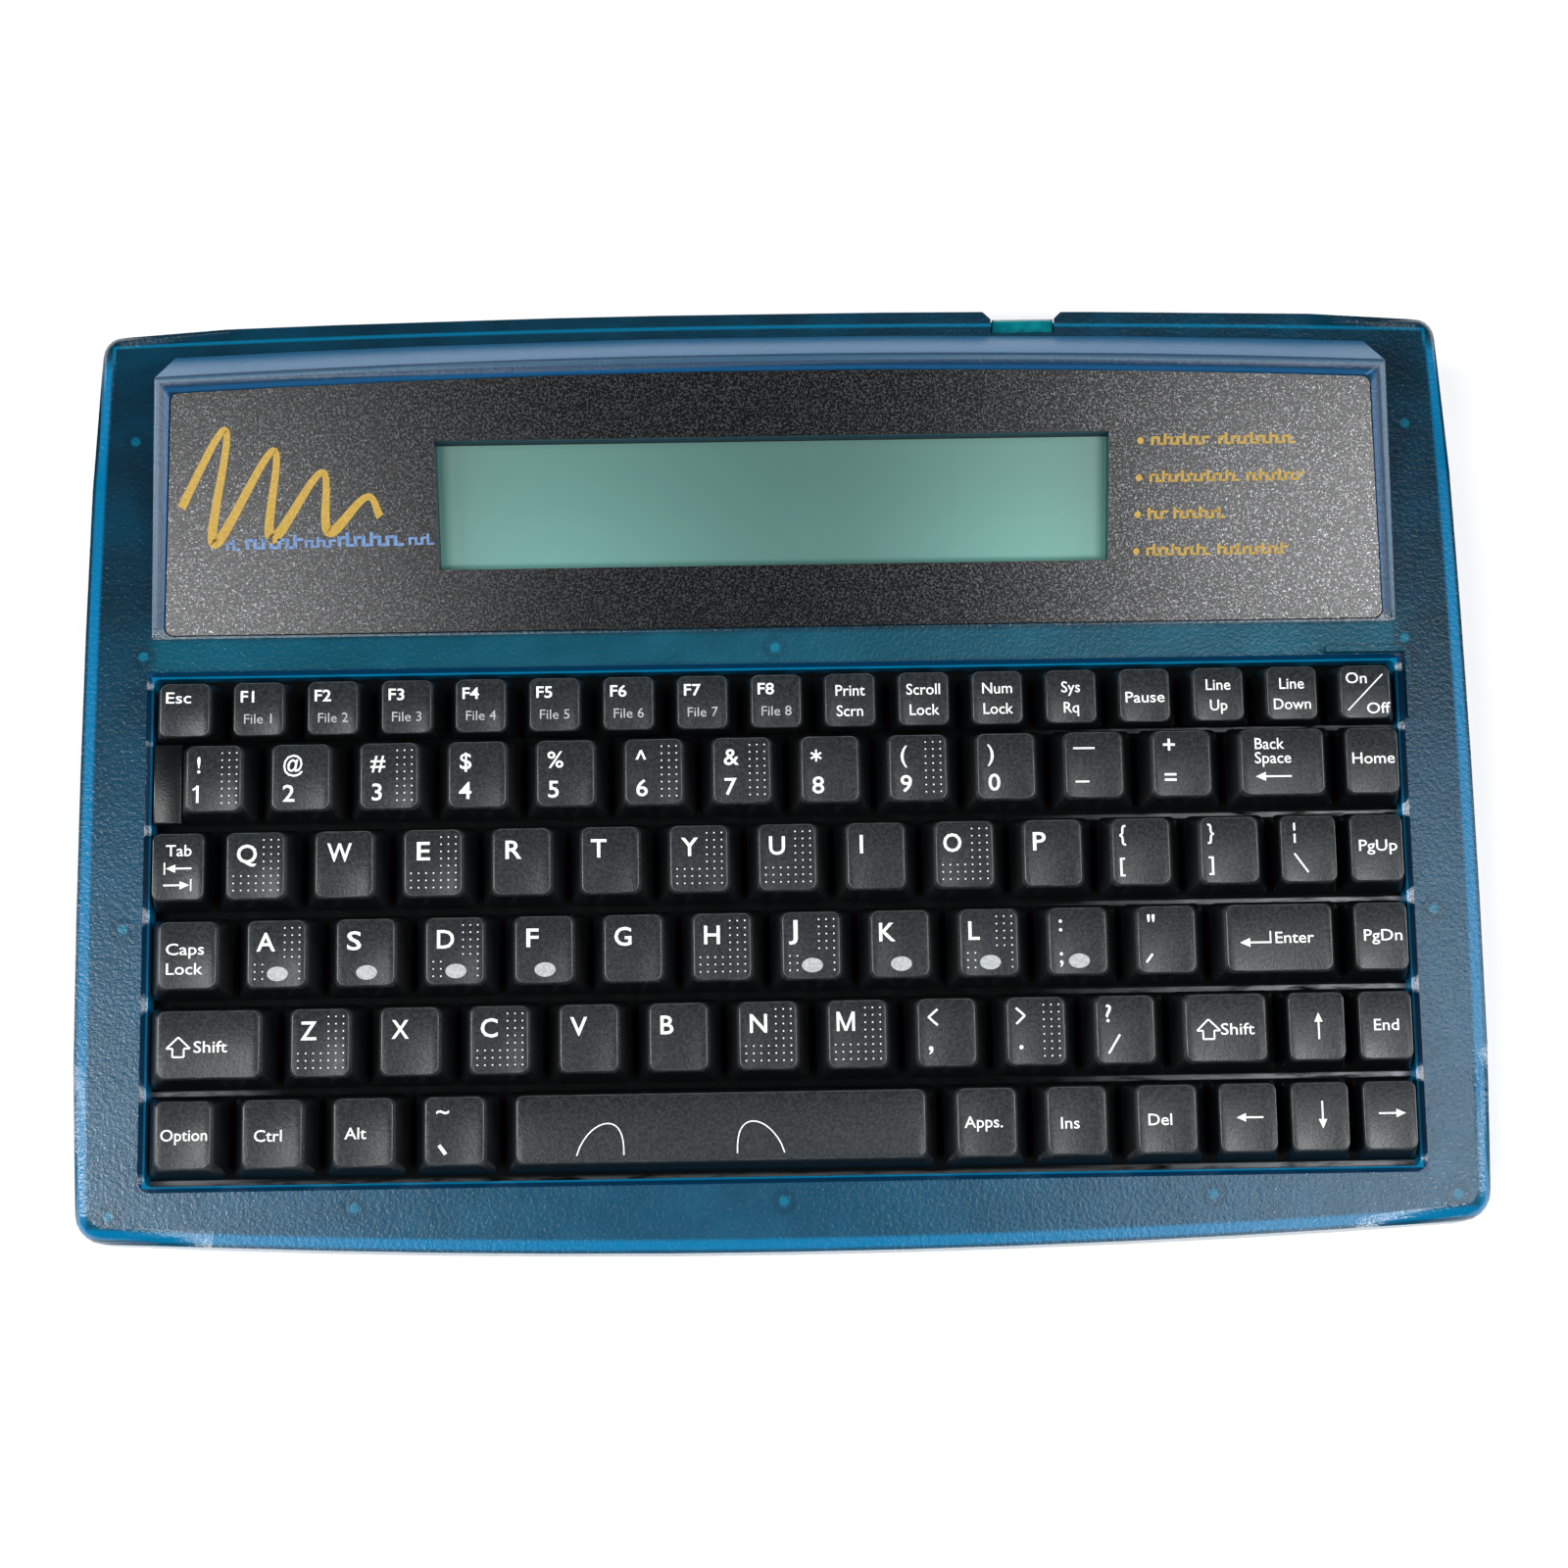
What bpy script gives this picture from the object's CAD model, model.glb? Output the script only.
"""A portable word processor with a tinted translucent case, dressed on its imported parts."""

import math

import bmesh
import bpy
from mathutils import Matrix, Vector


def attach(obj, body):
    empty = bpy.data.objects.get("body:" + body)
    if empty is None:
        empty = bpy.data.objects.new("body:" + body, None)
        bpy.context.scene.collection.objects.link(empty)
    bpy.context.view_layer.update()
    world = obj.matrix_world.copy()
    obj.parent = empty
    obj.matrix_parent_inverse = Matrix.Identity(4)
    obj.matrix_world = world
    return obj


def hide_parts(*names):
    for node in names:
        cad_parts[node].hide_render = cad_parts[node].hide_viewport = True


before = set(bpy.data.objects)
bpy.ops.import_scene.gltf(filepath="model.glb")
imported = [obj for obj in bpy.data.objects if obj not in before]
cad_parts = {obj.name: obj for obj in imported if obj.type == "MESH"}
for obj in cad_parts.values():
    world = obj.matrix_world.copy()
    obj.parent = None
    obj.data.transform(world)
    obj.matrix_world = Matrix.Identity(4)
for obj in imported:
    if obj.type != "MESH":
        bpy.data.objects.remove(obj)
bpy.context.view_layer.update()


# Lower shell
# A tinted, see-through tray moulded in one piece, with a fine spark-eroded grain outside. Its walls
# glow where light runs along them, and the floor looks cloudy over what lies inside. Screws from below
# hold it to the cover.

MM = 0.001
WEDGE = math.radians(4.0)
DECK_SHIFT = -4.0168 * MM
DECK_LIFT = 26.5335 * MM
DECK = Matrix.Translation((0.0, DECK_SHIFT, DECK_LIFT)) @ Matrix.Rotation(WEDGE, 4, "X")
CASE_FRONT = -95.425 * MM
CASE_REAR = 103.6 * MM
CASE_HALF = 150.9 * MM
CASE_NARROWING = 1.8 * MM / (CASE_REAR - CASE_FRONT)
SIDE_BOW = 1.5 * MM
FRONT_BOW = 4.6 * MM
REAR_BOW = 2.8 * MM


def paint(red, green, blue):
    """A colour mixed by eye in screen values, as the shader's linear light."""
    mixed = [((v / 255 + 0.055) / 1.055) ** 2.4 if v > 10 else v / 255 / 12.92 for v in (red, green, blue)]
    return (*mixed, 1.0)


class Reading:
    """A value measured at each point of a surface, ready for sums."""

    def __init__(self, finish, socket):
        self.finish = finish
        self.socket = socket

    def maths(self, operation, *values):
        """The result of one sum on readings or numbers."""
        return self.finish.node("Math", {"operation": operation}, dict(enumerate(values)))

    def __add__(self, other):
        return self.maths("ADD", self, other)

    __radd__ = __add__

    def __sub__(self, other):
        return self.maths("SUBTRACT", self, other)

    def __rsub__(self, other):
        return self.maths("SUBTRACT", other, self)

    def __mul__(self, other):
        return self.maths("MULTIPLY", self, other)

    __rmul__ = __mul__

    def __truediv__(self, other):
        return self.maths("DIVIDE", self, other)

    def __pow__(self, other):
        return self.maths("POWER", self, other)

    def __abs__(self):
        return self.maths("ABSOLUTE", self)

    def least(self, other):
        return self.maths("MINIMUM", self, other)

    def most(self, other):
        return self.maths("MAXIMUM", self, other)

    def fade(self, start, end):
        """Zero up to one value and one past the other, smooth in between."""
        ends = {0: self, 1: start, 2: end, 3: 0.0, 4: 1.0}
        return self.finish.node("MapRange", {"interpolation_type": "SMOOTHSTEP"}, ends)

    def band(self, start, rise, fall, end):
        """One between two values, fading to zero on both sides."""
        return self.fade(start, rise) * (1 - self.fade(fall, end))


class Finish:
    """A surface finish, built up from readings."""

    def __init__(self, name, **constants):
        self.material = bpy.data.materials.new(name)
        self.material.use_nodes = True
        self.tree = self.material.node_tree
        self.shader = self.tree.nodes["Principled BSDF"]
        for socket, value in constants.items():
            self.shader.inputs[socket.replace("_", " ")].default_value = value
        self.point = None

    def feed(self, socket, value):
        """Links a reading to a socket, or sets a plain value on it."""
        if isinstance(value, Reading):
            self.tree.links.new(value.socket, socket)
        else:
            socket.default_value = value

    def node(self, kind, settings=None, inputs=None, output=0):
        """Adds a node, with its settings first and then its sockets, and reads one of its outputs."""
        made = self.tree.nodes.new("ShaderNode" + kind)
        for name, value in (settings or {}).items():
            if name == "stops":
                ramp = made.color_ramp
                while len(ramp.elements) < len(value):
                    ramp.elements.new(1.0)
                for element, (position, colour) in zip(ramp.elements, value):
                    element.position = position
                    element.color = colour
            else:
                setattr(made, name, value)
        for key, value in (inputs or {}).items():
            self.feed(made.inputs[key], value)
        return Reading(self, made.outputs[output])

    def place(self):
        """The point's place on the object, as three readings."""
        if self.point is None:
            self.point = self.node("TexCoord", output="Object")
        return [self.node("SeparateXYZ", None, {0: self.point}, axis) for axis in range(3)]

    def noise(self, size, detail=2.0, stretch=(1.0, 1.0, 1.0), roughness=0.5):
        """Cloudy variation with features of about the given size."""
        self.place()
        spot = self.node("Mapping", None, {"Vector": self.point, "Scale": stretch})
        inputs = {"Vector": spot, "Scale": 1 / size, "Detail": detail, "Roughness": roughness}
        return self.node("TexNoise", None, inputs)

    def mix(self, share, first, second):
        """A colour between two others."""
        return self.node("Mix", {"data_type": "RGBA"}, {0: share, 6: first, 7: second}, 2)

    def colour(self, value):
        self.feed(self.shader.inputs["Base Color"], value)

    def rough(self, value):
        self.feed(self.shader.inputs["Roughness"], value)

    def metal(self, value):
        self.feed(self.shader.inputs["Metallic"], value)

    def relief(self, height, depth, strength):
        """Fine unevenness of the surface, with its depth in metres."""
        bump = self.node("Bump", None, {"Strength": strength, "Distance": depth, "Height": height})
        self.feed(self.shader.inputs["Normal"], bump)


def deck_place(finish):
    """Right, rear and up, measured in the tilted deck's frame."""
    x, y, z = finish.place()
    back = y - DECK_SHIFT
    high = z - DECK_LIFT
    rear = back * math.cos(WEDGE) + high * math.sin(WEDGE)
    up = high * math.cos(WEDGE) - back * math.sin(WEDGE)
    return x, rear, up


def outline_gap(x, rear):
    """How far a point lies inside the case's bowed outline."""
    bow = 1 - (x / CASE_HALF) ** 2
    share = (rear * 2 - (CASE_FRONT + CASE_REAR)) / (CASE_REAR - CASE_FRONT)
    half = CASE_HALF + (1 - share**2) * SIDE_BOW - (rear - CASE_FRONT) * CASE_NARROWING
    side = half - abs(x)
    front = rear - CASE_FRONT + FRONT_BOW * bow
    back = CASE_REAR + REAR_BOW * bow - rear
    return side.least(front).least(back)


WELD_REACH = 0.002 * MM
FLAT_ENOUGH = math.radians(0.5)
LEVEL_ENOUGH = 0.9999


def welded_copy(node, name, angle):
    """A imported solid's triangles joined up again and shaded smooth, but sharp where a level face ends."""
    bm = bmesh.new()
    bm.from_mesh(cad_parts[node].data)
    bmesh.ops.remove_doubles(bm, verts=bm.verts, dist=WELD_REACH)
    bmesh.ops.dissolve_limit(bm, angle_limit=FLAT_ENOUGH, verts=bm.verts, edges=bm.edges)
    bm.normal_update()
    level = [face.normal.dot(DECK.col[2].xyz) > LEVEL_ENOUGH for face in bm.faces]
    brinks = [e.index for e in bm.edges if len({level[f.index] for f in e.link_faces}) == 2]
    mesh = bpy.data.meshes.new(name)
    bm.to_mesh(mesh)
    bm.free()
    mesh.shade_smooth()
    mesh.set_sharp_from_angle(angle=angle)
    for index in brinks:
        mesh.edges[index].use_edge_sharp = True
    piece = bpy.data.objects.new(name, mesh)
    bpy.context.scene.collection.objects.link(piece)
    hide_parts(node)
    return piece


def wear(piece, finish, body):
    """Gives a piece its finish, and lets it move with its body."""
    piece.data.materials.clear()
    piece.data.materials.append(finish.material)
    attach(piece, body)


def dress(finish, *nodes):
    """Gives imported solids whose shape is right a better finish."""
    for name in nodes:
        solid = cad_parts[name]
        solid.data.materials.clear()
        solid.data.materials.append(finish.material)


EDGE_BLUE = paint(0, 102, 146)
DEEP_BLUE = paint(0, 48, 82)
TRAY_BLUE = paint(2, 62, 92)
SHELL_CREASE = math.radians(38)

tray_blue = Finish("tray_blue", Specular_IOR_Level=0.4, IOR=1.5)
x, rear, up = deck_place(tray_blue)
gap = outline_gap(x, rear)
cloud = tray_blue.noise(22 * MM, 3.0)
body_tint = tray_blue.mix(cloud.fade(0.25, 0.8), paint(4, 48, 70), TRAY_BLUE)
body_tint = tray_blue.mix(gap.band(-2.4 * MM, -1 * MM, 1.5 * MM, 6 * MM), body_tint, DEEP_BLUE)
body_tint = tray_blue.mix(up.band(-16 * MM, -13 * MM, -12.6 * MM, -12.2 * MM), body_tint, EDGE_BLUE)
tray_blue.colour(body_tint)
tray_grain = tray_blue.noise(0.45 * MM, 2.0)
tray_blue.rough(0.34 + tray_grain * 0.14)
tray_blue.relief(tray_grain, 0.05 * MM, 0.5)
lower_shell = welded_copy("lower_case", "lower_shell", SHELL_CREASE)
wear(lower_shell, tray_blue, "housing")


# Battery door
# A snap-in lid moulded in the shell's own plastic, which turns on two hooked tabs. Grip grooves at its
# free edge take a fingertip.

DOOR_CREASE = math.radians(30)

door = welded_copy("battery_door", "door_lid", DOOR_CREASE)
wear(door, tray_blue, "battery_door_body")


# Rubber feet
# Pads of black rubber pressed into round seats in the floor, dusty and slightly pitted from use.

foot_rubber = Finish("foot_rubber")
dust = foot_rubber.noise(2.5 * MM, 4.0)
foot_rubber.colour(foot_rubber.mix(dust.fade(0.35, 0.8), paint(18, 18, 19), paint(36, 36, 35)))
pits = foot_rubber.noise(0.5 * MM, 2.0)
foot_rubber.rough(0.7 + dust * 0.25)
foot_rubber.relief(pits, 0.08 * MM, 0.6)
for end in ("front", "rear"):
    for side in ("left", "right"):
        dress(foot_rubber, f"foot_{end}_{side}")


# Screws, contact strip and back plate
# Zinc-plated steel: cross-headed screws under the corners, the cells' contact strip, and the thin rolled
# plate behind the keyboard, with the soft streaks that rolling leaves.

plated_steel = Finish("plated_steel", Metallic=1.0)
streaks = plated_steel.noise(1.2 * MM, 4.0, (0.06, 1.0, 1.0))
blotches = plated_steel.noise(9 * MM, 3.0)
plated_steel.colour(plated_steel.mix(blotches.fade(0.3, 0.75), paint(150, 152, 156), paint(205, 206, 208)))
plated_steel.rough(0.24 + streaks * 0.22)
plated_steel.relief(streaks, 0.02 * MM, 0.3)
dress(plated_steel, "back_plate", "battery_contacts")
for end in ("front", "rear"):
    for side in ("left", "right"):
        dress(plated_steel, f"screw_{end}_{side}")


# Round cells
# Three steel cells in shrink sleeves, bare at the ends. The sleeves are plain, with a darker band near
# each end.

CELL_MIDDLE = -60 * MM
BAND_START = 17 * MM
SLEEVE_END = 24.2 * MM
SLEEVE_BLUR = 0.3 * MM

cell_sleeve = Finish("cell_sleeve", Coat_Weight=0.4, Coat_Roughness=0.2)
along = abs(cell_sleeve.place()[0] - CELL_MIDDLE)
ends = along.fade(SLEEVE_END, SLEEVE_END + SLEEVE_BLUR)
stripe = along.band(BAND_START, BAND_START + SLEEVE_BLUR, SLEEVE_END, SLEEVE_END + SLEEVE_BLUR)
sleeve_tint = cell_sleeve.mix(stripe, paint(96, 100, 106), paint(46, 48, 54))
cell_sleeve.colour(cell_sleeve.mix(ends, sleeve_tint, paint(190, 190, 188)))
cell_sleeve.metal(ends)
cell_sleeve.rough(0.3 + cell_sleeve.noise(3 * MM) * 0.15)
dress(cell_sleeve, "battery_1", "battery_2", "battery_3")


# Circuit boards
# Glass-fibre boards under green resist: the main board with its chips, and the display's driver board.
# Copper tracks lift the resist in fine lines.

board_green = Finish("board_green", Coat_Weight=0.3, Coat_Roughness=0.2)
waves = {"Scale": 260.0, "Distortion": 5.0, "Detail": 1.0}
tracks = board_green.node("TexWave", {"bands_direction": "X"}, waves, 1)
board_tint = board_green.mix(tracks.fade(0.45, 0.7), paint(10, 66, 38), paint(28, 104, 58))
chips = board_green.noise(5 * MM).fade(0.62, 0.66)
board_green.colour(board_green.mix(chips, board_tint, paint(20, 21, 22)))
board_green.rough(0.35 + tracks * 0.15)
board_green.relief(tracks, 0.04 * MM, 0.5)
dress(board_green, "main_board", "lcd_board")


# Rear sockets
# Two black nylon sockets soldered under the main board, whose round mouths stand in the rear wall.

socket_nylon = Finish("socket_nylon")
speckle = socket_nylon.noise(0.6 * MM, 2.0)
socket_nylon.colour(socket_nylon.mix(speckle.fade(0.3, 0.8), paint(22, 22, 23), paint(40, 40, 42)))
socket_nylon.rough(0.42 + speckle * 0.2)
socket_nylon.relief(speckle, 0.03 * MM, 0.5)
dress(socket_nylon, "data_socket", "power_jack")


# Dome sheet
# One sheet of soft grey silicone rubber with a dome under each key, slightly milky at the thin parts.

dome_rubber = Finish("dome_rubber")
milky = dome_rubber.noise(4 * MM, 2.0)
dome_rubber.colour(dome_rubber.mix(milky, paint(150, 150, 144), paint(186, 186, 178)))
dome_rubber.rough(0.55 + milky * 0.2)
dress(dome_rubber, "dome_sheet")


# Keyboard frame
# The moulded frame below the caps. Its floor is lined with a crinkled foil that shows as broken silver
# strips between the rows, mostly toward the right. A square guide collar stands under each key.

KEY_PITCH = 19.05 * MM
KEY_GAP = 1.5 * MM
FUNCTION_KEY_DEPTH = 12.4 * MM
FUNCTION_PITCH = 15.45 * MM
FIRST_ROW = -74.1 * MM
KEYBOARD_SHARE = 14.294
ARROW_SHARE = 0.804
END_SHARE = 0.757
WIDTH_SHARES = {
    "tab": 0.747,
    "caps_lock": 0.996,
    "shift_left": 1.496,
    "one": 1.246,
    "option": 0.9655,
    "control": 1.0125,
    "alt": 1.0125,
    "tilde": 1.0125,
    "space": 4.908,
    "apps": 1.006,
    "insert": 1.006,
    "delete": 1.006,
    "arrow_left": ARROW_SHARE,
    "arrow_down": ARROW_SHARE,
    "arrow_right": END_SHARE,
    "arrow_up": 0.790,
    "backslash": 0.790,
    "shift_right": 1.251,
    "enter": 1.541,
    "backspace": 1.291,
    "home": END_SHARE,
    "page_up": END_SHARE,
    "page_down": END_SHARE,
    "end": END_SHARE,
}
ROWS = (
    "option control alt tilde space apps insert delete arrow_left arrow_down arrow_right",
    "shift_left z x c v b n m comma period slash shift_right arrow_up end",
    "caps_lock a s d f g h j k l semicolon quote enter page_down",
    "tab q w e r t y u i o p bracket_left bracket_right backslash page_up",
    "one two three four five six seven eight nine zero minus equals backspace home",
)
FUNCTION_ROW = "esc f1 f2 f3 f4 f5 f6 f7 f8 f9 f10 f11 f12 pause f13 f14 power"
FRAME_TOP = -6.5 * MM
FRAME_THICK = 2.0 * MM
FRAME_HALF = 137.4 * MM
FRAME_FRONT = -85.225 * MM
FRAME_REAR = 26.05 * MM
GUIDE_HALF = 4.3 * MM
GUIDE_TOP = -2.6 * MM
GUIDE_ROOT = FRAME_TOP - 1 * MM
SPACE_GUIDES = (-34 * MM, 0.0, 34 * MM)


def key_places():
    """Each key's name, centre, width and depth on the deck."""
    start = -KEYBOARD_SHARE * KEY_PITCH / 2
    for index, row in enumerate(ROWS):
        x = start
        for name in row.split():
            width = WIDTH_SHARES.get(name, 1.0) * KEY_PITCH
            yield name, x + width / 2, FIRST_ROW + KEY_PITCH * index, width - KEY_GAP, KEY_PITCH - KEY_GAP
            x += width
    x = start
    names = FUNCTION_ROW.split()
    width = KEYBOARD_SHARE * KEY_PITCH / len(names)
    for name in names:
        rear = FIRST_ROW + KEY_PITCH * (len(ROWS) - 1) + FUNCTION_PITCH
        yield name, x + width / 2, rear, width - KEY_GAP, FUNCTION_KEY_DEPTH
        x += width


def block(bm, x_low, x_high, y_low, y_high, z_low, z_high):
    """Adds a box to a mesh and gives back its points."""
    verts = bmesh.ops.create_cube(bm, size=1.0)["verts"]
    size = Matrix.Diagonal((x_high - x_low, y_high - y_low, z_high - z_low, 1.0))
    middle = Vector((x_low + x_high, y_low + y_high, z_low + z_high)) / 2
    bmesh.ops.transform(bm, matrix=Matrix.Translation(middle) @ size, verts=verts)
    return verts


def settle(bm, name, materials, angle=math.radians(35)):
    """Turns a mesh made on the deck into an object in the part's own frame."""
    bmesh.ops.transform(bm, matrix=DECK, verts=bm.verts)
    mesh = bpy.data.meshes.new(name)
    bm.to_mesh(mesh)
    bm.free()
    for finish in materials:
        mesh.materials.append(finish.material)
    mesh.shade_smooth()
    mesh.set_sharp_from_angle(angle=angle)
    piece = bpy.data.objects.new(name, mesh)
    bpy.context.scene.collection.objects.link(piece)
    return piece


key_foil = Finish("key_foil", Specular_IOR_Level=0.08)
x, rear, up = deck_place(key_foil)
crinkle = key_foil.noise(3.2 * MM, 4.0, (0.4, 2.5, 1.0))
row = (rear - FIRST_ROW) / KEY_PITCH + 0.5
between_rows = 0.5 - abs(row.maths("FRACT", row) - 0.5)
in_row_gap = 1 - between_rows.fade(0.02, 0.035)
at_front = 1 - rear.fade(-84.6 * MM, -83.2 * MM)
toward_right = x.fade(50 * MM, 122 * MM)
broken = crinkle.fade(0.30, 0.56)
at_left = (1 - x.fade(-132 * MM, -105 * MM)) * (1 - rear.fade(-64 * MM, -60 * MM))
shine = (in_row_gap * toward_right.most(at_left * 0.7)).most(at_front * 0.6) * broken
shine = shine * (1 - up.fade(FRAME_TOP + 0.2 * MM, FRAME_TOP + 0.4 * MM))
key_foil.colour(key_foil.mix(shine, paint(5, 7, 8), paint(158, 162, 166)))
key_foil.metal(shine * 0.4)
key_foil.rough(0.6 - shine * 0.2)
key_foil.relief(crinkle, 0.3 * MM, 0.6)
bm = bmesh.new()
block(bm, -FRAME_HALF, FRAME_HALF, FRAME_FRONT, FRAME_REAR, FRAME_TOP - FRAME_THICK, FRAME_TOP)
for name, x, y, *_ in key_places():
    for side in SPACE_GUIDES if name == "space" else (0.0,):
        left, right = x + side - GUIDE_HALF, x + side + GUIDE_HALF
        block(bm, left, right, y - GUIDE_HALF, y + GUIDE_HALF, GUIDE_ROOT, GUIDE_TOP)
frame_plate = settle(bm, "frame_plate", [key_foil])
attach(frame_plate, "housing")
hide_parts("key_frame")


# Key caps
# Charcoal caps with sloped sides and a shallow scoop on top, hollow below so that they clear the guide
# collars, with a fine grain that wear has smoothed at the rims. Legends are printed in white ink: letters
# at the top left, with symbols over digits. The ovals and the second line of the function keys are grey.

CAP_TOP = 4.0 * MM
CAP_SKIRT = -1.5 * MM
SCOOP = 0.35 * MM
CAP_WALL = 1.3 * MM
HOLLOW = 2.4 * MM
RIM_ROUND = 0.2 * MM
CORNER_ROUND = 1.5 * MM
SLACK = 0.01 * MM
TOP_CUTS = 9
INK_LIFT = 0.035 * MM
DOT_SIZE = 0.18 * MM
OVAL_HALF_WIDTH = 2.25 * MM
OVAL_HALF_HEIGHT = 1.55 * MM
SHELF_WIDTH = 5.3 * MM
SHELF_HEIGHT = 2.4 * MM
SHELF_ROUND = 0.5 * MM
SHELF_OVERLAP = 1 * MM
CAP_CREASE = math.radians(50)

cap_plastic = Finish("cap_plastic", Specular_IOR_Level=0.42)
up = deck_place(cap_plastic)[2]
grain = cap_plastic.noise(0.7 * MM, 3.0, roughness=0.7)
fingers = cap_plastic.noise(11 * MM, 2.0)
top_mask = up.fade(2.6 * MM, 3.3 * MM)
top_tint = cap_plastic.mix(grain.fade(0.35, 0.7), paint(22, 27, 30), paint(46, 50, 53))
cap_plastic.colour(cap_plastic.mix(top_mask, paint(6, 10, 12), top_tint))
cap_plastic.rough(0.26 + fingers * 0.08)
cap_plastic.relief(grain, 0.07 * MM, 0.8)

cap_rim = Finish("cap_rim", Roughness=0.32, Specular_IOR_Level=0.42)
worn = cap_rim.noise(3 * MM, 3.0)
cap_rim.colour(cap_rim.mix(worn.fade(0.3, 0.7), paint(34, 39, 42), paint(62, 66, 69)))

white_ink = Finish("white_ink", Roughness=0.5)
thin = white_ink.noise(0.5 * MM, 2.0)
white_ink.colour(white_ink.mix(thin.fade(0.3, 0.6), paint(214, 216, 216), paint(240, 241, 240)))

grey_ink = Finish("grey_ink", Roughness=0.5)
thin = grey_ink.noise(0.6 * MM, 2.0)
grey_ink.colour(grey_ink.mix(thin.fade(0.3, 0.7), paint(150, 154, 154), paint(176, 180, 180)))

CAP_FINISHES = [cap_plastic, cap_rim, white_ink, grey_ink]
RIM, WHITE, GREY = range(1, 4)


def tapers(width, depth):
    """How far a cap's sides, front and rear lean in from its skirt to its top."""
    if depth == FUNCTION_KEY_DEPTH:
        return 2.0 * MM, 0.75 * MM, 0.1 * MM
    if width < ARROW_SHARE * KEY_PITCH:
        return 0.9 * MM, 2.4 * MM, 1.0 * MM
    return 2.75 * MM, 2.4 * MM, 1.0 * MM


def top_height(name, x, y, half, half_depth):
    """The height of a cap's top at a place on it: scooped across, or crowned on the space bar."""
    if name == "space":
        return CAP_TOP - SCOOP * (y / half_depth) ** 2
    share = min(abs(x) / half, 1.0)
    return CAP_TOP - SCOOP * (1 - share * share)


def rounded(bm, edges, width, steps):
    """Rounds edges off and gives back the new faces."""
    made = bmesh.ops.bevel(
        bm, geom=edges, offset=width, segments=steps, profile=0.5, affect="EDGES", material=-1
    )
    return made["faces"]


def shape_cap(name, width, depth):
    """One cap about its own centre, and the half width, half depth and middle of its top."""
    bm = bmesh.new()
    side, front, back = tapers(width, depth)
    for vertex in block(bm, -width / 2, width / 2, -depth / 2, depth / 2, CAP_SKIRT, CAP_TOP):
        if vertex.co.z > 0:
            vertex.co.x -= math.copysign(side, vertex.co.x)
            vertex.co.y += front if vertex.co.y < 0 else -back
    uprights = [e for e in bm.edges if abs(e.verts[0].co.z - e.verts[1].co.z) > 1 * MM]
    rounded(bm, uprights, CORNER_ROUND, 4)
    under = [f for f in bm.faces if max(v.co.z for v in f.verts) < CAP_SKIRT + SLACK]
    bmesh.ops.inset_region(bm, faces=under, thickness=CAP_WALL, use_even_offset=True)
    share = HOLLOW / (CAP_TOP - CAP_SKIRT)
    for vertex in {v for f in under for v in f.verts}:
        vertex.co.x *= 1 - side * share / (width / 2 - CAP_WALL)
        vertex.co.y *= 1 - front * share / (depth / 2 - CAP_WALL)
        vertex.co.z += HOLLOW
    brim = [e for e in bm.edges if min(v.co.z for v in e.verts) > CAP_TOP - SLACK]
    for face in rounded(bm, brim, RIM_ROUND, 2):
        face.material_index = RIM
    half = width / 2 - side
    half_depth = (depth - front - back) / 2
    middle = (front - back) / 2
    for cut in range(1, TOP_CUTS):
        spot = (-half + 2 * half * cut / TOP_CUTS, 0.0, 0.0)
        near = [f for f in bm.faces if min(v.co.z for v in f.verts) > CAP_TOP - RIM_ROUND - 0.1 * MM]
        edges, verts = {e for f in near for e in f.edges}, {v for f in near for v in f.verts}
        parts = [*near, *edges, *verts]
        bmesh.ops.bisect_plane(bm, geom=parts, dist=0.001 * MM, plane_co=spot, plane_no=(1.0, 0.0, 0.0))
    for vertex in bm.verts:
        if vertex.co.z > CAP_TOP - RIM_ROUND - SLACK:
            level = top_height(name, vertex.co.x, vertex.co.y - middle, half, half_depth)
            vertex.co.z += level - CAP_TOP
    return bm, half, half_depth, middle


CAPITAL_SHARE = 0.73
ARROW_THICK = 0.38


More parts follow.
